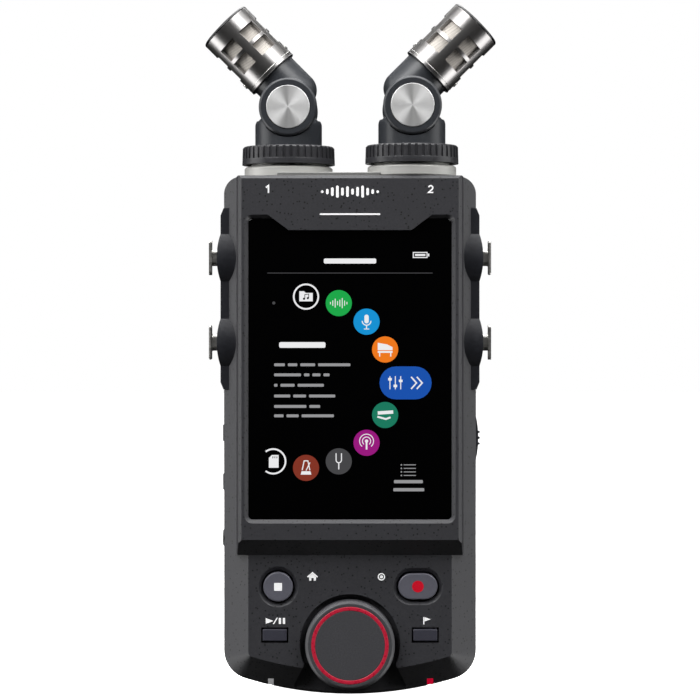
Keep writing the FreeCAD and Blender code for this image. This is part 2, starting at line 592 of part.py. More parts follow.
door = new_body("battery_door")
door_y = "half_depth - door_thick / 2"
slab(door, "Pad", "XZ_Plane", "half_depth - door_thick", "half_depth",
     box("-bay_half + 0.3", "bay_half - 0.3", "hinge_z", "bay_high - 0.3"))
slab(door, "Pad", "YZ_Plane", "-bay_half + 0.3", "bay_half - 0.3", (door_y, "hinge_z", "door_thick / 2"))
slab(door, "Pad", "YZ_Plane", "-31.1", "31.1", (door_y, "hinge_z", "0.5"))
grip = [box("-9", "9", f"bay_high - {drop}", f"bay_high - {drop} + 0.9") for drop in (5, 7, 9, 11)]
slab(door, "Pocket", "XZ_Plane", "half_depth - 0.5", "60", *grip)

node("speaker", joined(rod("Y", "20.5", "10.5", "tripod_z", "5.2", "4.6"),
                       rod("Y", "20.5", "7.5", "tripod_z", "3.4", "3.2")))
turned("tripod_socket", "Y",
       [("0", "half_depth - tripod_depth - 1.5"), ("5.5", "half_depth - tripod_depth - 1.5"),
        ("5.5", "half_depth"), ("tripod_radius", "half_depth"),
        ("tripod_radius", "half_depth - tripod_depth"), ("0", "half_depth - tripod_depth")],
       "0", "0", "tripod_z")
screws = []
for x, z in screw_places:
    head = less(rod("Y", x, "half_depth - 1.4", z, "2.1", "1.2"),
                brick(f"{x} - 1.3", f"{x} + 1.3", "half_depth - 0.8", "half_depth",
                      f"{z} - 0.25", f"{z} + 0.25"),
                brick(f"{x} - 0.25", f"{x} + 0.25", "half_depth - 0.8", "half_depth",
                      f"{z} - 1.3", f"{z} + 1.3"))
    screws.append(joined(head, rod("Y", x, "1", z, "1.1", "half_depth - 2")))
node("case_screws", group(*screws))


# ---- microphones ---------------------------------------------------------------------------------

def fork_and_seats(body):
    """Slot for the arm's tongue, seats for the hinge discs and the pin's bore, about the pivot."""
    slab(body, "Pocket", "XZ_Plane", "-ear_in", "ear_in", box("-20", "20", "-pedestal_drop - 1.4", "20"))
    slab(body, "Pocket", "XZ_Plane", "-ear_in", "ear_in", ("0", "0", "arm_radius + 0.5"))
    for low, high in (("-20", "-ear_out - 0.1"), ("ear_out + 0.1", "20")):
        slab(body, "Pocket", "XZ_Plane", low, high, ("0", "0", "disc_radius + 0.3"))
    slab(body, "Pocket", "XZ_Plane", "-20", "20", ("0", "0", "pin_radius + running_gap"))


def build_mic_mount(side, sign):
    x, y = f"{sign} * mic_x", f"{-sign} * mic_stagger"
    turned(f"mic_collar_{side}", "Z",
           [("8.5", "0"), ("collar_radius - 0.5", "0"), ("collar_radius", "0.5"),
            ("collar_radius", "collar_high - 0.5"), ("collar_radius - 0.5", "collar_high"),
            ("neck_radius", "collar_high"), ("neck_radius", "neck_high"), ("8.5", "neck_high")],
           x, y, "case_height")

    ring = turned(f"lock_ring_{side}", "Z",
                  [("neck_radius + 0.3", "ring_low"), ("ring_radius", "ring_low"),
                   ("ring_radius - 0.15", "ring_high - 0.5"), ("ring_radius - 0.65", "ring_high"),
                   ("pedestal_radius + 0.3", "ring_high"), ("pedestal_radius + 0.3", "ring_high - 1.4"),
                   ("neck_radius + 0.3", "ring_high - 1.4")], x, y)
    groove = slab(ring, "Pocket", "XY_Plane", "ring_low + 1.7", "ring_high + 1",
                  box("ring_radius - 0.5", "ring_radius + 1", "-0.45", "0.45"))
    pattern = ring.newObject("PartDesign::PolarPattern", "knurl")
    pattern.Originals = [groove]
    pattern.Axis = ([part for part in ring.Origin.OriginFeatures if part.Role == "Z_Axis"][0], [""])
    pattern.Angle = 360
    pattern.Occurrences = KNURLS
    ring.Tip = pattern

    foot = "case_height + neck_high + 0.1 - pivot_z"
    pedestal = turned(f"mic_pedestal_{side}", "Z",
                      [("0", foot), ("neck_radius - 0.2", foot), ("neck_radius - 0.2", f"{foot} + 1.2"),
                       ("pedestal_radius", f"{foot} + 1.2"), ("pedestal_radius", "-pedestal_drop"),
                       ("0", "-pedestal_drop")], x, y, "pivot_z")
    drop = -CELLS["pedestal_drop"]
    dress(pedestal, "Fillet", "shoulder",
          lambda edge: abs(edge.BoundBox.ZMin - drop) < 0.01 and edge.BoundBox.ZLength < 0.01
          and edge.BoundBox.XLength > 15)
    slab(pedestal, "Pad", "XZ_Plane", "-ear_out", "ear_out", ("0", "0", "ear_radius"))
    fork_and_seats(pedestal)

    discs = []
    for way, low, high in (("front", "-disc_out", "-ear_out - 0.2"), ("rear", "ear_out + 0.2", "disc_out")):
        disc = rod("Y", x, f"{y} + {low}", "pivot_z", "disc_radius", f"{high} - ({low})")
        rounded = doc.addObject("Part::Chamfer", "rounded")
        rounded.Base = disc
        doc.recompute()
        face = (-1 if way == "front" else 1) * CELLS["disc_out"] - sign * CELLS["mic_stagger"]
        rounded.Edges = [(i, 0.6, 0.6) for i, edge in enumerate(disc.Shape.Edges, 1) if flat_in_y(edge, face)]
        socket = rod("Y", x, f"{y} + ({low}) {'- 0.1' if way == 'front' else f'+ {high} - ({low}) - 0.6'}",
                     "pivot_z", "cap_radius + 0.05", "0.7")
        bore = rod("Y", x, f"{y} - 8.8", "pivot_z", "pin_radius + running_gap", "17.6")
        discs.append(less(rounded, socket, bore))
    node(f"hinge_disc_{side}", group(*discs))
    front_cap = rod("Y", x, f"{y} - disc_out - 0.25", "pivot_z", "cap_radius", "0.8")
    rear_cap = rod("Y", x, f"{y} + disc_out - 0.55", "pivot_z", "cap_radius", "0.8")
    node(f"hinge_cap_{side}", group(front_cap, rear_cap))


pins = [rod("Y", f"{sign} * mic_x", f"{-sign} * mic_stagger - 8.7", "pivot_z", "pin_radius", "17.4")
        for sign in SIDES.values()]
node("hinge_pins", group(*pins))


def tilt(thing, sign):
    """Stand a piece on the hinge pivot, splayed outwards; it is drawn upright about the pivot."""
    thing.Placement = FreeCAD.Placement(V(), FreeCAD.Rotation(V(0, sign, 0), CELLS["mic_splay"]))
    bind(thing, "Placement.Rotation.Angle", "mic_splay")
    place(thing, f"{sign} * mic_x", f"{-sign} * mic_stagger", "pivot_z")


def build_mic(side, sign):
    lean = f"{-sign} * arm_offset"

    arm = new_body(f"mic_arm_{side}")
    slab(arm, "Pad", "XY_Plane", "-arm_tail", "barrel_start", (lean, "0", "arm_radius"))
    tail = -CELLS["arm_tail"]
    dress(arm, "Fillet", "arm_round", lambda edge: edge.BoundBox.ZMax < tail + 0.01)
    slab(arm, "Pad", "XZ_Plane", "-tongue_half", "tongue_half", ("0", "0", "arm_radius + 0.2"))
    for low, high in (("-20", "-tongue_half"), ("tongue_half", "20")):
        slab(arm, "Pocket", "XZ_Plane", low, high, ("0", "0", "ear_radius + 0.4"))
    slab(arm, "Pocket", "XZ_Plane", "-20", "20", ("0", "0", "pin_radius + running_gap"))
    tilt(arm, sign)

    barrel = new_body(f"mic_barrel_{side}")
    slab(barrel, "Pad", "XY_Plane", "barrel_start", "barrel_end", (lean, "0", "barrel_radius"))
    tip = CELLS["barrel_end"]
    dress(barrel, "Fillet", "1", lambda edge: edge.BoundBox.ZMin > tip - 0.01)
    slab(barrel, "Pocket", "XY_Plane", "barrel_start + 1.5", "barrel_end - 1.2",
         (lean, "0", "barrel_radius - barrel_wall"))
    slab(barrel, "Pocket", "XY_Plane", "barrel_end - 2", "barrel_end + 1", (lean, "0", "6.4"))
    for low, high in (("window_1_low", "window_1_high"), ("window_2_low", "window_2_high")):
        for turn in range(0, 360, 60):
            window_sector(barrel, lean, low, high, turn)
    tilt(barrel, sign)

    mesh = new_body(f"mic_mesh_{side}")
    outer = "barrel_radius - barrel_wall - 0.1"
    slab(mesh, "Pad", "XY_Plane", "13", "barrel_end - 1.35", (lean, "0", outer))
    slab(mesh, "Pocket", "XY_Plane", "0", "barrel_end - 1.75", (lean, "0", f"{outer} - 0.4"))
    tilt(mesh, sign)

    capsule = new_body(f"mic_capsule_{side}")
    slab(capsule, "Pad", "XY_Plane", "21", "barrel_end - 2", (lean, "0", "6.6"))
    slab(capsule, "Pad", "XY_Plane", "12.5", "21", (lean, "0", "3.5"))
    tilt(capsule, sign)


def window_sector(body, lean, low, high, turn):
    """One sound window: a sector cut 42 degrees wide through the barrel's wall."""
    first = FreeCAD.Rotation(V(0, 0, 1), turn - 21).multVec(V(11, 0, 0))
    last = FreeCAD.Rotation(V(0, 0, 1), turn + 21).multVec(V(11, 0, 0))
    start = FreeCAD.Rotation(V(0, 0, 1), turn).multVec(V(0.6, 0, 0))
    corners = [(f"{lean} + {point.x:.4f}", f"{point.y:.4f}") for point in (start, first, last)]
    slab(body, "Pocket", "XY_Plane", low, high, corners)


for side, sign in SIDES.items():
    build_mic_mount(side, sign)
    build_mic(side, sign)


# ---- check and write -----------------------------------------------------------------------------

doc.recompute()
for item in doc.Objects:
    if "Invalid" in item.State or "Error" in item.State:
        raise ValueError(f"{item.Label} failed: {item.State}")
os.makedirs("parts", exist_ok=True)
for name, item in nodes.items():
    if item.Shape.isNull() or not item.Shape.isValid():
        raise ValueError(f"{name} has no valid shape")
for name, item in nodes.items():
    raised = item.Shape.copy()
    raised.translate(V(0, 0, CELLS["foot_drop"]))
    raised.exportStep(f"parts/{name}.step")
    print(f"{name:24s} solids {len(item.Shape.Solids)}  volume {item.Shape.Volume:10.1f}")
print(len(nodes), "nodes")
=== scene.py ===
"""Looks of the portable field recorder: materials, printed marks, screen picture, light and camera.

Metres, in the frame of the CAD model. Flat artwork is drawn in millimetres on the XZ plane.
"""

import json
import math

import bmesh
import bpy
from mathutils import Matrix, Vector


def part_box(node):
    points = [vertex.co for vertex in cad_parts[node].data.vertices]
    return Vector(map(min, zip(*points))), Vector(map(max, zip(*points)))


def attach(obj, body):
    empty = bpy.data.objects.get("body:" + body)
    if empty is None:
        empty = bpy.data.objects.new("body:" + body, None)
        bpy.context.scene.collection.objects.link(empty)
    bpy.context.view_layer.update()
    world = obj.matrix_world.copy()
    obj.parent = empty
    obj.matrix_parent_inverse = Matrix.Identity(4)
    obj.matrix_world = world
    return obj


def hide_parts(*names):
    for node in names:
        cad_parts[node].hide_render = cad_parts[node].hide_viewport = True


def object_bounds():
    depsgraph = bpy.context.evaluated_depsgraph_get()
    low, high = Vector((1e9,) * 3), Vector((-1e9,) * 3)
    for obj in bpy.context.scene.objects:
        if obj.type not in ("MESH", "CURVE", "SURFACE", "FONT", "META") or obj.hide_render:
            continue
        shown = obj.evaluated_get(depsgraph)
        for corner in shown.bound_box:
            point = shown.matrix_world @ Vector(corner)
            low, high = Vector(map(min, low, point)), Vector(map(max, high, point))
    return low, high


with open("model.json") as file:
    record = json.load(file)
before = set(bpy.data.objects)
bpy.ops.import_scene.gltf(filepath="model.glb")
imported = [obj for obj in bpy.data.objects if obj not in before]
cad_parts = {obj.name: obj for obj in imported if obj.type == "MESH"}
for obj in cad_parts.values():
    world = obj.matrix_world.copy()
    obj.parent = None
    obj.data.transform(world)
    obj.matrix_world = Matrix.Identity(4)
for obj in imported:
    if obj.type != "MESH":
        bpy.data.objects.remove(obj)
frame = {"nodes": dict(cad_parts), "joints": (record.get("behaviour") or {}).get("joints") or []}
cad_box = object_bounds()
nodes = frame["nodes"]
scene = bpy.context.scene
MM = 0.001
GLASS_FOOT = 51.8                                       # lower edge of the glass in the drawings below
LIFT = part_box("screen_glass")[0].z / MM - GLASS_FOOT    # from heights in the drawings to the CAD's
MIX_FIRST, MIX_SECOND, MIX_RESULT = 6, 7, 2             # colour sockets of a Mix node


# ---- materials -----------------------------------------------------------------------------------

def new_material(name):
    mat = bpy.data.materials.new(name)
    mat.use_nodes = True
    return mat, mat.node_tree, mat.node_tree.nodes["Principled BSDF"]


def texture(tree, kind, scale, coords, **settings):
    """A texture node with its sockets and settings; scale is None for a kind that has none."""
    item = tree.nodes.new(kind)
    tree.links.new(coords, item.inputs["Vector"])
    if scale is not None:
        item.inputs["Scale"].default_value = scale
    for name, value in settings.items():
        if name in item.inputs:
            item.inputs[name].default_value = value
        else:
            setattr(item, name, value)
    return item


def span(tree, source, low, high, start=0.0, end=1.0):
    """A value stretched from start..end to low..high."""
    item = tree.nodes.new("ShaderNodeMapRange")
    tree.links.new(source, item.inputs["Value"])
    for name, value in (("From Min", start), ("From Max", end), ("To Min", low), ("To Max", high)):
        item.inputs[name].default_value = value
    return item.outputs["Result"]


def blend_colours(tree, factor, first, second):
    """The mix of two colours, each a tuple or a socket."""
    item = tree.nodes.new("ShaderNodeMix")
    item.data_type = "RGBA"
    tree.links.new(factor, item.inputs[0])
    for socket, colour in ((item.inputs[MIX_FIRST], first), (item.inputs[MIX_SECOND], second)):
        if isinstance(colour, tuple):
            socket.default_value = (*colour, 1)
        else:
            tree.links.new(colour, socket)
    return item.outputs[MIX_RESULT]


def object_coords(tree):
    return tree.nodes.new("ShaderNodeTexCoord").outputs["Object"]


def scaled(colour, factor):
    return tuple(min(1.0, c * factor) for c in colour)


def surface(name, colour, rough, metallic=0.0, specular=0.5, mottle=0.12, grain=900.0, bump=0.05,
            rough_swing=0.06, specks=0.0, coat=0.0, glow=None, stretch=(1, 1, 1)):
    """Moulded, painted or metal surface: fine grain in colour, roughness and relief, and sparse specks."""
    mat, tree, shader = new_material(name)
    links = tree.links
    place = tree.nodes.new("ShaderNodeMapping")
    place.inputs["Scale"].default_value = stretch
    links.new(object_coords(tree), place.inputs["Vector"])
    coords = place.outputs["Vector"]
    fine = texture(tree, "ShaderNodeTexNoise", grain, coords, Detail=3.0)
    broad = texture(tree, "ShaderNodeTexNoise", grain / 14, coords, Detail=2.0)
    low, high = scaled(colour, 1 - mottle), scaled(colour, 1 + mottle)
    shade = blend_colours(tree, span(tree, fine.outputs["Fac"], 0, 1, 0.3, 0.7), low, high)
    shade = blend_colours(tree, span(tree, broad.outputs["Fac"], 0, 0.5, 0.35, 0.65), shade,
                          scaled(colour, 0.94))
    if specks:
        dots = texture(tree, "ShaderNodeTexVoronoi", 1 / (specks * MM), coords, Randomness=1.0)
        edge = span(tree, dots.outputs["Distance"], 1, 0, 0.15, 0.27)
        some = tree.nodes.new("ShaderNodeSeparateColor")
        links.new(dots.outputs["Color"], some.inputs["Color"])
        chosen = tree.nodes.new("ShaderNodeMath")
        chosen.operation = "MULTIPLY"
        links.new(edge, chosen.inputs[0])
        links.new(span(tree, some.outputs["Red"], 0, 1, 0.30, 0.36), chosen.inputs[1])
        shade = blend_colours(tree, chosen.outputs["Value"], shade, scaled(colour, 0.08))
    links.new(shade, shader.inputs["Base Color"])
    links.new(span(tree, fine.outputs["Fac"], rough - rough_swing, rough + rough_swing, 0.3, 0.7),
              shader.inputs["Roughness"])
    shader.inputs["Metallic"].default_value = metallic
    shader.inputs["Specular IOR Level"].default_value = specular
    if coat:
        shader.inputs["Coat Weight"].default_value = coat
        shader.inputs["Coat Roughness"].default_value = 0.08
    if bump:
        relief = tree.nodes.new("ShaderNodeBump")
        relief.inputs["Strength"].default_value = bump
        relief.inputs["Distance"].default_value = 0.05 * MM
        links.new(fine.outputs["Fac"], relief.inputs["Height"])
        links.new(relief.outputs["Normal"], shader.inputs["Normal"])
    if glow:
        links.new(shade, shader.inputs["Emission Color"])
        shader.inputs["Emission Strength"].default_value = glow
    return mat


# painted sheen: light and dark wedges round a turned disc, painted into its colour: (part of the turn, level)
PAINTED_SHEEN_WEDGES = (
    (0.0, 0.92), (0.10, 1.0), (0.19, 0.72), (0.235, 0.50), (0.27, 0.95), (0.33, 0.80), (0.42, 0.98),
    (0.52, 1.0), (0.62, 0.90), (0.69, 0.46), (0.735, 0.70), (0.78, 0.44), (0.86, 0.88), (1.0, 0.92))


def spun_metal(name, centre):
    """Turned disc whose grooves run round its centre; light and dark wedges of sheen are painted into its
    colour by angle, on top of the real sheen of its grooves.
    """
    mat = surface(name, (1.0, 1.0, 0.99), 0.34, metallic=0.5, mottle=0.02, grain=1600, bump=0.0,
                  rough_swing=0.01)
    tree = mat.node_tree
    shader = tree.nodes["Principled BSDF"]
    colour = shader.inputs["Base Color"]
    shader.inputs["Anisotropic"].default_value = 0.9
    tangent = tree.nodes.new("ShaderNodeTangent")
    tangent.direction_type, tangent.axis = "RADIAL", "Y"
    tree.links.new(tangent.outputs["Tangent"], shader.inputs["Tangent"])
    # painted sheen: the base colour made lighter and darker by angle round the cap's centre
    place = tree.nodes.new("ShaderNodeMapping")
    place.inputs["Location"].default_value = (-centre.x, centre.z, 0)
    place.inputs["Rotation"].default_value = (math.pi / 2, 0, 0)
    tree.links.new(object_coords(tree), place.inputs["Vector"])
    sweep = texture(tree, "ShaderNodeTexGradient", None, place.outputs["Vector"], gradient_type="RADIAL")
    ramp = tree.nodes.new("ShaderNodeValToRGB")
    ramp.color_ramp.interpolation = "B_SPLINE"
    while len(ramp.color_ramp.elements) < len(PAINTED_SHEEN_WEDGES):
        ramp.color_ramp.elements.new(0.5)
    for element, (at, level) in zip(ramp.color_ramp.elements, PAINTED_SHEEN_WEDGES):
        element.position, element.color = at, (level, level, level, 1)
    tree.links.new(sweep.outputs["Fac"], ramp.inputs["Fac"])
    shade = tree.nodes.new("ShaderNodeMix")
    shade.data_type, shade.blend_type = "RGBA", "MULTIPLY"
    shade.inputs[0].default_value = 1.0
    tree.links.new(colour.links[0].from_socket, shade.inputs[MIX_FIRST])
    tree.links.new(ramp.outputs["Color"], shade.inputs[MIX_SECOND])
    tree.links.new(shade.outputs[MIX_RESULT], colour)
    return mat


def wire_mesh(name, colour):
    """Fine woven wire: crossing ridges, with painted shade in the holes between them."""
    mat, tree, shader = new_material(name)
    links = tree.links
    coords = object_coords(tree)
    bands = []
    for turn in ((0.785, 0, 0.4), (0, 0.785, 0.4)):
        place = tree.nodes.new("ShaderNodeMapping")
        place.inputs["Rotation"].default_value = turn
        links.new(coords, place.inputs["Vector"])
        wires = texture(tree, "ShaderNodeTexWave", 900, place.outputs["Vector"], Distortion=0.6)
        bands.append(wires.outputs["Fac"])
    both = tree.nodes.new("ShaderNodeMath")
    both.operation = "MAXIMUM"
    links.new(bands[0], both.inputs[0])
    links.new(bands[1], both.inputs[1])
    broad = texture(tree, "ShaderNodeTexNoise", 160, coords, Detail=2.0)
    lit = blend_colours(tree, span(tree, broad.outputs["Fac"], 0, 1, 0.35, 0.65), scaled(colour, 0.85),
                        colour)
    wire = span(tree, both.outputs["Value"], 0, 1, 0.15, 0.75)
    # painted shade: the holes between the wires darkened to 0.45 of the wire's colour
    links.new(blend_colours(tree, wire, scaled(colour, 0.45), lit), shader.inputs["Base Color"])
    relief = tree.nodes.new("ShaderNodeBump")
    relief.inputs["Strength"].default_value = 0.3
    relief.inputs["Distance"].default_value = 0.08 * MM
    links.new(both.outputs["Value"], relief.inputs["Height"])
    links.new(relief.outputs["Normal"], shader.inputs["Normal"])
    shader.inputs["Metallic"].default_value = 0.35
    shader.inputs["Roughness"].default_value = 0.55
    return mat


def lit_ink(name, colour, strength):
    """A lit part of the display: colour with the display's fine dot rows."""
    mat, tree, shader = new_material(name)
    links = tree.links
    rows = texture(tree, "ShaderNodeTexWave", 2200, object_coords(tree), bands_direction="Z")
    row = span(tree, rows.outputs["Fac"], 0, 1)
    links.new(blend_colours(tree, row, scaled(colour, 0.93), colour), shader.inputs["Emission Color"])
    links.new(blend_colours(tree, row, (0.01, 0.01, 0.01), (0.012, 0.012, 0.012)),
              shader.inputs["Base Color"])
    shader.inputs["Emission Strength"].default_value = strength
    shader.inputs["Roughness"].default_value = 0.12
    return mat


def srgb(*levels):
    """Linear colour of display levels from 0 to 255."""
    return tuple((v / 255 / 12.92) if v < 10.3 else ((v / 255 + 0.055) / 1.055) ** 2.4 for v in levels)


case_mat = surface("case_plastic", (0.038, 0.038, 0.043), 0.44, specks=1.2, grain=1500, bump=0.30,
                   mottle=0.16)
panel_mat = surface("panel_plastic", (0.024, 0.025, 0.031), 0.40, grain=1200, bump=0.15)
dial_mat = surface("dial_plastic", (0.059, 0.059, 0.065), 0.42, grain=2200, bump=0.25, mottle=0.2)
button_mat = surface("button_plastic", (0.128, 0.128, 0.156), 0.34, grain=1500, bump=0.08, mottle=0.06)
small_button_mat = surface("small_button_plastic", (0.048, 0.048, 0.064), 0.34, grain=1500, bump=0.08,
                           mottle=0.06)
glass_mat = surface("display_glass", (0.0005, 0.0005, 0.0006), 0.05, grain=200, bump=0.0, rough_swing=0.01,
                    specular=0.4)
arm_mat = surface("arm_paint", (0.036, 0.039, 0.045), 0.34, grain=2200, bump=0.12)
ring_mat = surface("ring_plastic", (0.034, 0.034, 0.038), 0.34, grain=1500, bump=0.15)
chrome_mat = surface("dark_chrome", (0.36, 0.35, 0.345), 0.31, metallic=1.0, mottle=0.03, grain=700, bump=0.0,
                     rough_swing=0.004)
collar_mat = surface("turned_aluminium", (0.55, 0.545, 0.52), 0.45, metallic=0.3, mottle=0.06, grain=300,
                     bump=0.1, stretch=(0.2, 0.2, 9))
plate_mat = surface("blasted_aluminium", (0.36, 0.36, 0.35), 0.45, metallic=0.8, mottle=0.08, grain=2600,
                    bump=0.2)
joint_place = {joint["name"]: Vector(joint["pos_m"]) for joint in frame["joints"] if "pos_m" in joint}
cap_mats = {side: spun_metal(f"spun_aluminium_painted_sheen_{side}", joint_place[f"mic_{side}_tilt"])
            for side in ("left", "right")}
tab_mat = surface("nickel_steel", (0.66, 0.65, 0.62), 0.36, metallic=1.0, mottle=0.05, grain=500, bump=0.0,
                  stretch=(1, 1, 6))
screw_mat = surface("black_oxide", (0.10, 0.10, 0.11), 0.32, metallic=1.0, grain=1500)
brass_mat = surface("brass", (0.72, 0.52, 0.23), 0.26, metallic=1.0, grain=1500, bump=0.04)
board_mat = surface("laminate", (0.02, 0.10, 0.05), 0.4, grain=1200)
socket_mat = surface("socket_black", (0.012, 0.012, 0.012), 0.38, grain=1500, bump=0.1)
cell_mat = surface("cell_wrap", (0.06, 0.12, 0.28), 0.28, grain=2400, bump=0.0, mottle=0.06, coat=0.6)
mesh_mat = wire_mesh("woven_wire", (0.60, 0.56, 0.51))
red_mat = surface("red_light", (0.74, 0.002, 0.035), 0.3, grain=900, bump=0.0, glow=0.6, mottle=0.08)
ring_red_mat = surface("red_ring", (0.42, 0.012, 0.035), 0.3, grain=900, bump=0.0, glow=0.25, mottle=0.10)
grey_lens_mat = surface("grey_light", (0.34, 0.34, 0.345), 0.3, grain=900, bump=0.0, glow=0.7)
# the white and red prints glow a little though they are no lamp: painted light that makes them brighter than
# their lit colour
print_painted_glow_mat = surface("white_print_painted_glow", (0.97, 0.97, 0.97), 0.5, grain=2600, bump=0.0, mottle=0.03, glow=0.25)
red_print_painted_glow_mat = surface("red_print_painted_glow", (0.60, 0.004, 0.02), 0.35, grain=2600, bump=0.0, glow=0.15)
steel_mat = surface("screw_steel", (0.60, 0.60, 0.58), 0.22, metallic=1.0, grain=1500, bump=0.05)
# black for the tip bands and the socket rims, and painted shade in the band at each barrel's base
black_mat = surface("black_lacquer_and_painted_shade", (0.008, 0.008, 0.009), 0.25, grain=1500, bump=0.0)
gold_mat = surface("gold_contact", (0.80, 0.56, 0.22), 0.2, metallic=1.0, grain=1500, bump=0.0)
label_mat = surface("label_film", (0.075, 0.075, 0.08), 0.42, grain=1800, bump=0.05)

# CAD node: its material and the radius of its rounded edges in millimetres
NODE_FINISH = {
    "front_case": (case_mat, 0.22), "rear_case": (case_mat, 0.22), "battery_door": (case_mat, 0.18),
    "side_panel_left": (panel_mat, 0.25), "side_panel_right": (panel_mat, 0.25),
    "top_plate": (plate_mat, 0.2), "screen_glass": (glass_mat, 0.12), "lcd_module": (socket_mat, 0),
    "main_board": (board_mat, 0), "control_board": (board_mat, 0), "dial_encoder": (screw_mat, 0.1),
    "status_lens_left": (grey_lens_mat, 0.08), "status_lens_right": (red_mat, 0.08),
    "battery_cells": (cell_mat, 0.2), "battery_contacts": (tab_mat, 0.1), "speaker": (socket_mat, 0.1),
    "tripod_socket": (brass_mat, 0.15), "case_screws": (screw_mat, 0.08),
    "headphone_jack": (socket_mat, 0.2), "line_out_jack": (socket_mat, 0.2),
    "aux_in_jack": (socket_mat, 0.2), "usb_port": (screw_mat, 0.08), "card_slot": (screw_mat, 0),
    "hinge_pins": (steel_mat, 0.1), "home_button": (button_mat, 0.35), "record_button": (button_mat, 0.35),
    "play_button": (small_button_mat, 0.3), "mark_button": (small_button_mat, 0.3),
    "data_dial": (dial_mat, 0.18), "dial_light_ring": (ring_red_mat, 0), "volume_up_key": (panel_mat, 0.2),
    "volume_down_key": (panel_mat, 0.2), "power_slider": (panel_mat, 0.15),
}
for number in range(1, 5):
    NODE_FINISH[f"combo_jack_{number}"] = (socket_mat, 0.2)
    NODE_FINISH[f"jack_latch_{number}"] = (tab_mat, 0.38)
for side in ("left", "right"):
    NODE_FINISH.update({
        f"mic_collar_{side}": (collar_mat, 0.12), f"mic_pedestal_{side}": (arm_mat, 0.25),
        f"hinge_disc_{side}": (arm_mat, 0.15), f"hinge_cap_{side}": (cap_mats[side], 0.15),
        f"lock_ring_{side}": (ring_mat, 0.15), f"mic_arm_{side}": (arm_mat, 0.3),
        f"mic_barrel_{side}": (chrome_mat, 0.18), f"mic_mesh_{side}": (mesh_mat, 0),
        f"mic_capsule_{side}": (brass_mat, 0.2)})


KEEP_FACETS = ("rear_case", "battery_door")    # merging flat facets spoils the slots and grooves of these


def round_edges(item, width, merge=True):
    """Join the split facets, merge the flat ones where asked, and round the sharp edges."""
    weld = item.modifiers.new("weld", "WELD")
    weld.merge_threshold = 2e-6
    if merge:
        flatten = item.modifiers.new("flatten", "DECIMATE")
        flatten.decimate_type = "DISSOLVE"
        flatten.angle_limit = math.radians(0.4)
    if width:
        bevel = item.modifiers.new("bevel", "BEVEL")
        bevel.width = width * MM
        bevel.segments = 2
        bevel.limit_method = "ANGLE"
        bevel.angle_limit = math.radians(32)
        bevel.miter_outer = "MITER_ARC"
        bevel.harden_normals = False
    item.modifiers.new("normals", "WEIGHTED_NORMAL").keep_sharp = True


for name, (mat, width) in NODE_FINISH.items():
    item = nodes[name]
    item.data.materials.clear()
    item.data.materials.append(mat)
    round_edges(item, width, merge=name not in KEEP_FACETS)


# ---- flat artwork --------------------------------------------------------------------------------

def turn_angles(steps):
    return [2 * math.pi * i / steps for i in range(steps)]


class Artwork:
    """Flat shapes in millimetres on an XZ plane, gathered into one thin mesh with several materials."""

    def __init__(self, name, y, thick=0.02):
        self.name, self.y, self.thick = name, y, thick
        self.mesh = bmesh.new()
        self.mats = []

    def face(self, points, mat):
        if mat not in self.mats:
            self.mats.append(mat)
        area = sum(a[0] * b[1] - b[0] * a[1] for a, b in zip(points, points[1:] + points[:1]))
        ordered = points if area > 0 else points[::-1]
        made = self.mesh.faces.new([self.mesh.verts.new((x * MM, self.y * MM, (z + LIFT) * MM))
                                    for x, z in ordered])
        made.material_index = self.mats.index(mat)

    def strip(self, first, second, mat):
        """Faces between two rows of points."""
        for i in range(len(first) - 1):
            self.face([first[i], first[i + 1], second[i + 1], second[i]], mat)

    def disc(self, x, z, radius, mat, steps=40):
        self.face([(x + radius * math.cos(a), z + radius * math.sin(a)) for a in turn_angles(steps)], mat)

    def arc(self, x, z, outer, inner, mat, start=0, end=360, steps=64):
        angles = [math.radians(start + (end - start) * i / steps) for i in range(steps + 1)]
        rims = [[(x + r * math.cos(a), z + r * math.sin(a)) for a in angles] for r in (outer, inner)]
        self.strip(rims[0], rims[1], mat)

    def bar(self, low_x, high_x, low_z, high_z, mat, radius=0.0):
        """A rectangle, with round corners if it has a radius."""
        if not radius:
            self.face([(low_x, low_z), (high_x, low_z), (high_x, high_z), (low_x, high_z)], mat)
            return
        points = []
        for cx, cz, start in ((high_x - radius, low_z + radius, -90), (high_x - radius, high_z - radius, 0),
                              (low_x + radius, high_z - radius, 90), (low_x + radius, low_z + radius, 180)):
            points += [(cx + radius * math.cos(math.radians(start + 15 * i)),
                        cz + radius * math.sin(math.radians(start + 15 * i))) for i in range(7)]
        self.face(points, mat)

    def line(self, points, width, mat):
        """A stroke of even width with mitred corners."""
        sides = ([], [])
        for i, point in enumerate(points):
            before = Vector(point) - Vector(points[i - 1]) if i else Vector(points[1]) - Vector(point)
            after = Vector(points[i + 1]) - Vector(point) if i + 1 < len(points) else before
            before, after = before.normalized(), after.normalized()
            middle = (before + after).normalized()
            normal = Vector((-middle.y, middle.x)) * (width / 2 / max(0.4, middle.dot(after)))
            sides[0].append(tuple(Vector(point) + normal))
            sides[1].append(tuple(Vector(point) - normal))
        self.strip(sides[0], sides[1], mat)

    def finish(self, body):
        bmesh.ops.remove_doubles(self.mesh, verts=self.mesh.verts, dist=1e-7)
        data = bpy.data.meshes.new(self.name)
        self.mesh.to_mesh(data)
        self.mesh.free()
        for mat in self.mats:
            data.materials.append(mat)
        item = bpy.data.objects.new(self.name, data)
        scene.collection.objects.link(item)
        shell = item.modifiers.new("thickness", "SOLIDIFY")
        shell.thickness = self.thick * MM
        shell.offset = 0
        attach(item, body)
        return item


PANEL_STEP = 4.5     # from the front face back to the panel with the buttons
PRINT_PROUD, PRINT_THICK = 0.01, 0.03
front_y = cad_box[0][1] / MM
panel_y = front_y + PANEL_STEP
glass_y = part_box("screen_glass")[0].y / MM

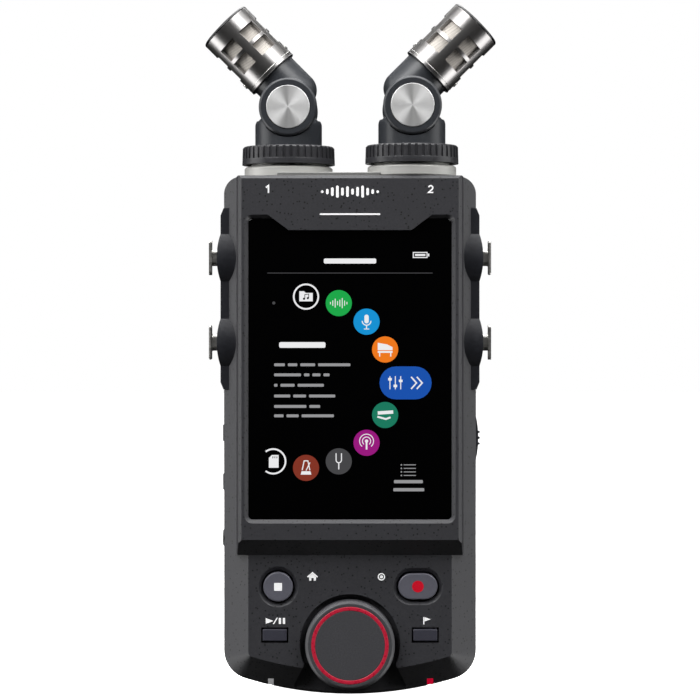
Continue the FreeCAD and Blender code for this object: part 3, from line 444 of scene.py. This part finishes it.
# channel numbers and a level-meter sign on the face above the screen
marks = Artwork("face_marks", front_y - PRINT_PROUD, PRINT_THICK)
marks.line([(-25.0, 150.5), (-24.25, 151.1), (-24.25, 148.9)], 0.45, print_painted_glow_mat)
arc_of_two = [(24.0 + 0.62 * math.cos(math.radians(a)), 150.45 + 0.62 * math.sin(math.radians(a)))
              for a in range(170, -45, -15)]
marks.line(arc_of_two + [(23.35, 149.05), (24.75, 149.05)], 0.42, print_painted_glow_mat)
METER_LEVEL, METER_PITCH = 149.3, 1.5
for i, height in enumerate((0.8, 1.6, 2.6, 3.6, 2.4, 3.2, 1.8, 2.8, 3.6, 2.2, 1.4, 0.8)):
    x = (i - 5.5) * METER_PITCH
    marks.bar(x - 0.4, x + 0.4, METER_LEVEL - height / 2, METER_LEVEL + height / 2, print_painted_glow_mat, radius=0.39)
marks.bar(-9.0, 9.0, 142.35, 142.85, print_painted_glow_mat, radius=0.24)
marks.finish("case")

# signs beside the buttons
signs = Artwork("control_signs", panel_y - PRINT_PROUD, PRINT_THICK)
signs.line([(-12.7, 34.30), (-11.2, 35.60), (-9.7, 34.30)], 0.42, print_painted_glow_mat)
signs.face([(-12.2, 33.25), (-11.55, 33.25), (-11.55, 34.05), (-10.85, 34.05), (-10.85, 33.25),
            (-10.2, 33.25), (-10.2, 34.40), (-11.2, 35.25), (-12.2, 34.40)], print_painted_glow_mat)
RECORD_MARK = (9.4, 34.4)
signs.arc(*RECORD_MARK, 1.1, 0.78, print_painted_glow_mat)
signs.disc(*RECORD_MARK, 0.46, print_painted_glow_mat)
signs.face([(-25.2, 20.30), (-25.2, 22.10), (-22.9, 21.20)], print_painted_glow_mat)
signs.line([(-22.9, 20.25), (-21.75, 22.15)], 0.34, print_painted_glow_mat)
signs.bar(-21.3, -20.6, 20.3, 22.1, print_painted_glow_mat)
signs.bar(-20.1, -19.4, 20.3, 22.1, print_painted_glow_mat)
signs.face([(21.9, 20.15), (22.22, 20.15), (22.22, 22.35), (21.9, 22.35)], print_painted_glow_mat)
signs.face([(22.3, 21.05), (24.1, 21.70), (22.3, 22.35)], print_painted_glow_mat)
signs.finish("case")

# signs on the buttons themselves
HOME_CENTRE, RECORD_CENTRE = (-21.5, 31.4), (20.3, 31.5)
home_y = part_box("home_button")[0].y / MM
home_sign = Artwork("home_sign", home_y - PRINT_PROUD, PRINT_THICK)
(x, z), half = HOME_CENTRE, 1.17
home_sign.bar(x - half, x + half, z - half, z + half, print_painted_glow_mat)
home_sign.finish("home_button")
record_sign = Artwork("record_sign", home_y - PRINT_PROUD, PRINT_THICK)
record_sign.disc(*RECORD_CENTRE, 1.75, red_print_painted_glow_mat)
record_sign.finish("record_button")


# ---- small turned pieces -------------------------------------------------------------------------

def lathe(name, profile, place, mat, body, steps=56):
    """A closed profile of (radius, height) in millimetres turned about the Z axis of place."""
    made = bmesh.new()
    rings = [[made.verts.new(place @ Vector((r * MM * math.cos(a), r * MM * math.sin(a), h * MM)))
              for a in turn_angles(steps)] for r, h in profile]
    for first, second in zip(rings, rings[1:] + rings[:1]):
        for i in range(steps):
            j = (i + 1) % steps
            made.faces.new([first[i], first[j], second[j], second[i]])
    bmesh.ops.recalc_face_normals(made, faces=made.faces)
    data = bpy.data.meshes.new(name)
    made.to_mesh(data)
    made.free()
    data.materials.append(mat)
    item = bpy.data.objects.new(name, data)
    scene.collection.objects.link(item)
    for face in data.polygons:
        face.use_smooth = True
    item.modifiers.new("normals", "WEIGHTED_NORMAL")
    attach(item, body)
    return item


REST_TILT = math.radians(45)    # outward lean of each microphone at rest
BARREL_OFFSET = 4.2             # from the hinge's axis to the barrel's
TIP_BAND = [(8.53, 31.1), (8.50, 31.4), (8.32, 31.70), (8.0, 31.90), (7.6, 31.95), (7.6, 31.7), (8.2, 31.1)]
# black band round the barrel near its base: painted shade standing for the thin gap there
BASE_SHADE_BAND = [(8.2, 10.7), (8.42, 10.75), (8.56, 10.9), (8.56, 11.15), (8.3, 11.3)]
BASE_LINE = [(8.3, 12.0), (8.56, 12.05), (8.56, 12.25), (8.3, 12.3)]
SET_SCREW = [(0.32, 0.15), (0.36, 0.42), (0.72, 0.42), (0.86, 0.30), (0.86, -0.1), (0.32, -0.1)]
SCREW_RADIUS, SCREW_HEIGHT = 8.42, 14.2    # where the set screws sit on the barrel

for side, sign in (("left", -1), ("right", 1)):
    turn = Matrix.Translation(joint_place[f"mic_{side}_tilt"]) @ Matrix.Rotation(sign * REST_TILT, 4, "Y")
    axis = turn @ Matrix.Translation((-sign * BARREL_OFFSET * MM, 0, 0))
    body = f"mic_{side}"
    lathe(f"mic_tip_band_{side}", TIP_BAND, axis, black_mat, body)
    lathe(f"mic_base_shade_band_{side}", BASE_SHADE_BAND, axis, black_mat, body)
    lathe(f"mic_base_line_{side}", BASE_LINE, axis, steel_mat, body)
    for number, way in enumerate((1, -1), 1):
        screw = axis @ Matrix.Translation((way * SCREW_RADIUS * MM, 0, SCREW_HEIGHT * MM)) @ Matrix.Rotation(
            way * math.pi / 2, 4, "Y")
        lathe(f"mic_set_screw_{side}_{number}", SET_SCREW, screw, steel_mat, body, steps=12)

JACK_X, JACK_Y, JACK_HIGH, JACK_LOW = 38.5, 3.7, 130.0, 104.5    # centres of the sockets' mouths
JACK_RIM = [(9.75, -0.4), (9.75, 0.12), (9.95, 0.22), (11.1, 0.22), (11.35, 0.02), (11.35, -0.4)]
JACK_CONTACT = [(0.85, -6), (0.85, -0.75), (1.25, -0.75), (1.25, -6)]

for number, (sign, z) in enumerate(((-1, JACK_HIGH), (1, JACK_HIGH), (-1, JACK_LOW), (1, JACK_LOW)), 1):
    mouth = Matrix.Translation((sign * JACK_X * MM, JACK_Y * MM, (z + LIFT) * MM)) @ Matrix.Rotation(
        sign * math.pi / 2, 4, "Y")
    lathe(f"jack_rim_{number}", JACK_RIM, mouth, black_mat, "case")
    for pin, (y, height) in enumerate(((-5.6, 0), (2.2, -5.3), (2.2, 5.3)), 1):
        hole = mouth @ Matrix.Translation((-sign * height * MM, y * MM, 0))
        lathe(f"jack_contact_{number}_{pin}", JACK_CONTACT, hole, gold_mat, "case", steps=20)

# lit ring of the dial, a little proud and with rounded edges
LIGHT_RING = [(10.42, -0.4), (10.42, 0.03), (10.58, 0.09), (11.36, 0.09), (11.53, 0.03), (11.53, -0.4)]
low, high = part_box("dial_light_ring")
ring_place = Matrix.Translation((0, low.y + 0.05 * MM, (low.z + high.z) / 2)) @ Matrix.Rotation(
    math.pi / 2, 4, "X")
light_ring = lathe("light_ring", LIGHT_RING, ring_place, ring_red_mat, "dial", steps=120)
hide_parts("dial_light_ring")

# plain label on the back
label = Artwork("rear_label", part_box("battery_door")[1].y / MM + 0.03, 0.06)
label.bar(-16, 16, 27, 43, label_mat, radius=1.5)
label.finish("battery_door")


# ---- screen picture ------------------------------------------------------------------------------

white = lit_ink("screen_white", srgb(238, 238, 240), 1.0)
soft = lit_ink("screen_soft", srgb(150, 150, 152), 1.0)
dim = lit_ink("screen_dim", srgb(70, 70, 72), 1.0)
screen = Artwork("screen_picture", glass_y - 0.015, 0.02)


def words(x, z, widths, height, ink, gap=0.9):
    """A row of plain word-length bars."""
    for width in widths:
        screen.bar(x, x + width, z - height / 2, z + height / 2, ink, radius=height * 0.3)
        x += width + gap


# title, battery sign and text
words(-7.8, 128.7, [15.6], 1.5, white)
screen.bar(-24.6, 24.6, 125.02, 125.22, dim)
screen.line([(18.85, 129.6), (18.85, 131.25), (22.95, 131.25), (22.95, 129.75), (18.7, 129.75)], 0.28, white)
screen.bar(19.35, 22.45, 130.2, 130.8, white)
screen.bar(23.2, 23.6, 130.1, 130.9, white)
screen.disc(-22.7, 116.2, 0.45, dim)
words(-21.1, 103.7, [13.8], 1.7, white)
for z, widths in ((97.8, [3.2, 2.8, 4.4, 9.6]), (94.8, [8.0, 1.6, 2.4, 1.8]), (91.7, [1.0, 4.2, 7.8]),
                  (88.5, [4.8, 3.8, 7.8]), (85.4, [9.6, 3.2]), (82.6, [2.8, 3.6, 9.6])):
    words(-22.6, z, widths, 0.85, soft)

# round entries, on a circle about a point
centre, spread, size, ring_inner = (-13.1, 92.6), 25.5, 3.9, 3.4


def spot(angle):
    turn = math.radians(angle)
    return centre[0] + spread * math.cos(turn), centre[1] + spread * math.sin(turn)


# 90: folder with a note, in a ring
x, z = spot(90)
screen.arc(x, z, size, ring_inner, white)
screen.face([(x - 2.0, z - 1.4), (x + 2.0, z - 1.4), (x + 2.0, z + 1.1), (x - 0.1, z + 1.1),
             (x - 0.6, z + 1.6), (x - 2.0, z + 1.6)], white)
ink = lit_ink("screen_black", (0.004, 0.004, 0.004), 1.0)
lift = Artwork("screen_details", glass_y - 0.035, 0.02)
lift.line([(x - 0.35, z - 0.6), (x - 0.35, z + 0.6), (x + 0.8, z + 0.75), (x + 0.8, z - 0.4)], 0.22, ink)
lift.disc(x - 0.6, z - 0.65, 0.34, ink, 16)
lift.disc(x + 0.55, z - 0.45, 0.34, ink, 16)
# 67.5: soft sound wave on green
x, z = spot(67.5)
screen.disc(x, z, size, lit_ink("screen_green", srgb(15, 168, 70), 1.0))
for i, height in enumerate((0.7, 1.6, 2.6, 1.2, 2.0, 3.0, 1.5, 0.7)):
    lift.bar(x - 2.6 + i * 0.7, x - 2.35 + i * 0.7, z - height / 2, z + height / 2, white)
# 45: microphone on blue
x, z = spot(45)
screen.disc(x, z, size, lit_ink("screen_blue", srgb(0, 145, 212), 1.0))
lift.bar(x - 0.65, x + 0.65, z - 0.5, z + 2.1, white, radius=0.62)
lift.arc(x, z + 0.25, 1.45, 1.15, white, 180, 360, 20)
lift.bar(x - 0.15, x + 0.15, z - 2.1, z - 1.1, white)
lift.bar(x - 0.8, x + 0.8, z - 2.3, z - 2.05, white)
# 22.5: keyboard on orange
x, z = spot(22.5)
screen.disc(x, z, size, lit_ink("screen_orange", srgb(240, 120, 15), 1.0))
lift.face([(x - 2.2, z - 0.2), (x + 2.2, z - 0.2), (x + 2.2, z + 0.7), (x + 0.6, z + 1.5),
           (x - 2.2, z + 2.0)], white)
lift.bar(x - 2.2, x + 2.2, z - 1.0, z - 0.45, white)
for dx in (-1.8, 1.5):
    lift.bar(x + dx, x + dx + 0.35, z - 2.1, z - 1.0, white)
# 0: chosen entry, a wide blue pill with a fader sign and two chevrons
screen.bar(8.8, 24.3, 87.5, 97.3, lit_ink("screen_pill", srgb(8, 78, 172), 1.0), radius=4.85)
for i, level in enumerate((1.1, -0.9, 0.6)):
    fx = 11.9 + i * 1.6
    lift.bar(fx - 0.14, fx + 0.14, 90.5, 94.4, white)
    lift.bar(fx - 0.55, fx + 0.55, 92.4 + level - 0.4, 92.4 + level + 0.4, white, radius=0.2)
for dx in (18.2, 19.9):
    lift.line([(dx, 94.2), (dx + 1.6, 92.4), (dx, 90.6)], 0.42, white)
# -22.5: recorder horn on teal
x, z = spot(-22.5)
screen.disc(x, z, size, lit_ink("screen_teal", srgb(12, 120, 92), 1.0))
lift.line([(x + 2.4, z + 0.9), (x - 2.2, z + 0.6)], 1.0, white)
lift.line([(x - 2.3, z - 0.5), (x + 0.2, z - 1.2), (x + 1.6, z - 0.7)], 0.55, white)
# -45: broadcast sign on magenta
x, z = spot(-45)
screen.disc(x, z, size, lit_ink("screen_magenta", srgb(152, 8, 124), 1.0))
lift.disc(x, z + 0.5, 0.5, white, 20)
lift.bar(x - 0.25, x + 0.25, z - 2.0, z + 0.2, white)
lift.arc(x, z + 0.5, 1.35, 1.1, white, -50, 230, 40)
lift.arc(x, z + 0.5, 2.2, 1.95, white, -50, 230, 48)
# -67.5: tuning fork on grey
x, z = spot(-67.5)
screen.disc(x, z, size, lit_ink("screen_grey", srgb(66, 66, 68), 1.0))
lift.arc(x, z + 0.4, 0.95, 0.65, white, 180, 360, 20)
for dx in (-0.8, 0.8):
    lift.bar(x + dx - 0.15, x + dx + 0.15, z + 0.4, z + 2.4, white)
lift.bar(x - 0.17, x + 0.17, z - 2.4, z - 0.4, white)
# -90: metronome on brown
x, z = spot(-90)
screen.disc(x, z, size, lit_ink("screen_brown", srgb(130, 46, 28), 1.0))
lift.face([(x - 1.6, z - 2.0), (x + 1.6, z - 2.0), (x + 1.3, z - 1.0), (x - 1.3, z - 1.0)], white)
lift.line([(x - 1.15, z - 0.7), (x - 0.55, z + 2.1), (x + 0.55, z + 2.1), (x + 1.15, z - 0.7)], 0.3, white)
lift.line([(x, z - 0.8), (x + 1.2, z + 1.6)], 0.28, white)
# -112.5: card in a ring, cut by the edge of the picture
x, z = spot(-112.5)
screen.arc(x, z, size, ring_inner, white, -128, 128, 60)
screen.face([(x - 1.3, z - 1.9), (x + 1.6, z - 1.9), (x + 1.6, z + 1.9), (x - 0.4, z + 1.9),
             (x - 1.3, z + 1.0)], white)
for dx in (-0.1, 0.5, 1.1):
    lift.bar(x + dx - 0.12, x + dx + 0.12, z + 0.9, z + 1.5, ink)
# list sign and its caption bars
for i in range(4):
    z = 68.0 - i * 1.05
    screen.disc(15.3, z, 0.24, soft, 12)
    screen.bar(16.0, 19.6, z - 0.12, z + 0.12, soft)
words(13.1, 63.0, [8.6], 0.95, soft)
words(12.9, 60.6, [9.2], 0.95, soft)
screen.finish("case")
lift.finish("case")


# ---- stage, light and camera ---------------------------------------------------------------------

scene.view_settings.view_transform = "Standard"
scene.view_settings.look = "None"

# white where the camera looks past the object, and a dim sky for light and reflections
world = bpy.data.worlds.new("studio")
scene.world = world
world.use_nodes = True
tree = world.node_tree
tree.nodes.clear()
output = tree.nodes.new("ShaderNodeOutputWorld")
choose = tree.nodes.new("ShaderNodeMixShader")
paths = tree.nodes.new("ShaderNodeLightPath")
seen, dark = tree.nodes.new("ShaderNodeBackground"), tree.nodes.new("ShaderNodeBackground")
seen.inputs["Color"].default_value = (1, 1, 1, 1)
sky = tree.nodes.new("ShaderNodeTexCoord")
split = tree.nodes.new("ShaderNodeSeparateXYZ")
tree.links.new(sky.outputs["Generated"], split.inputs[0])
tree.links.new(span(tree, split.outputs["Z"], 0.004, 0.06, -0.2, 0.9), dark.inputs["Strength"])
tree.links.new(paths.outputs["Is Camera Ray"], choose.inputs[0])
tree.links.new(dark.outputs[0], choose.inputs[1])
tree.links.new(seen.outputs[0], choose.inputs[2])
tree.links.new(choose.outputs[0], output.inputs[0])


def softbox(name, place, size, power, aim=(0, 0, 0.10)):
    light = bpy.data.lights.new(name, "AREA")
    light.shape = "RECTANGLE"
    light.size, light.size_y = size
    light.energy = power
    item = bpy.data.objects.new(name, light)
    item.location = place
    item.rotation_euler = (Vector(aim) - Vector(place)).to_track_quat("-Z", "Y").to_euler()
    item.visible_camera = False
    scene.collection.objects.link(item)
    return item


softbox("left_box", (-1.30, 0.0, 0.55), (0.9, 1.5), 9.0)
softbox("right_box", (1.30, 0.0, 0.55), (0.9, 1.5), 6.5)
softbox("left_front", (-0.95, -1.00, 1.30), (1.1, 1.0), 24)
softbox("right_front", (0.95, -1.00, 1.30), (1.1, 1.0), 20)
for name, x in (("low_left", -1.05), ("low_right", 1.05)):
    softbox(name, (x, -0.20, -0.60), (0.8, 0.8), 7, aim=(0, 0, 0.19)).visible_diffuse = False
softbox("top_box", (0, -0.05, 1.35), (1.5, 0.9), 20)
softbox("back_fill", (0, 1.15, 1.35), (1.2, 0.8), 15)

FLOOR_SIZE, FLOOR_GAP = 6.0, 0.0001
floor_data = bmesh.new()
bmesh.ops.create_grid(floor_data, x_segments=8, y_segments=8, size=FLOOR_SIZE)
floor_mesh = bpy.data.meshes.new("floor")
floor_data.to_mesh(floor_mesh)
floor_data.free()
floor = bpy.data.objects.new("floor", floor_mesh)
floor.location = (0, 0, cad_box[0][2] - FLOOR_GAP)
scene.collection.objects.link(floor)
floor_mesh.materials.append(surface("pale_floor", (0.80, 0.80, 0.80), 0.7, grain=300, bump=0.0, mottle=0.01,
                                    specular=0.1, glow=1.6))
floor.visible_diffuse = floor.visible_glossy = floor.visible_shadow = False

CAMERA_DISTANCE, CAMERA_HEIGHT = 0.850, 102.2    # metres from the front face, millimetres in the drawings
lens = bpy.data.cameras.new("camera")
lens.lens, lens.sensor_width = 147.0, 36.0
camera = bpy.data.objects.new("camera", lens)
camera.location = (0, front_y * MM - CAMERA_DISTANCE, (CAMERA_HEIGHT + LIFT) * MM)
camera.rotation_euler = (math.pi / 2, 0, 0)
scene.collection.objects.link(camera)
scene.camera = camera
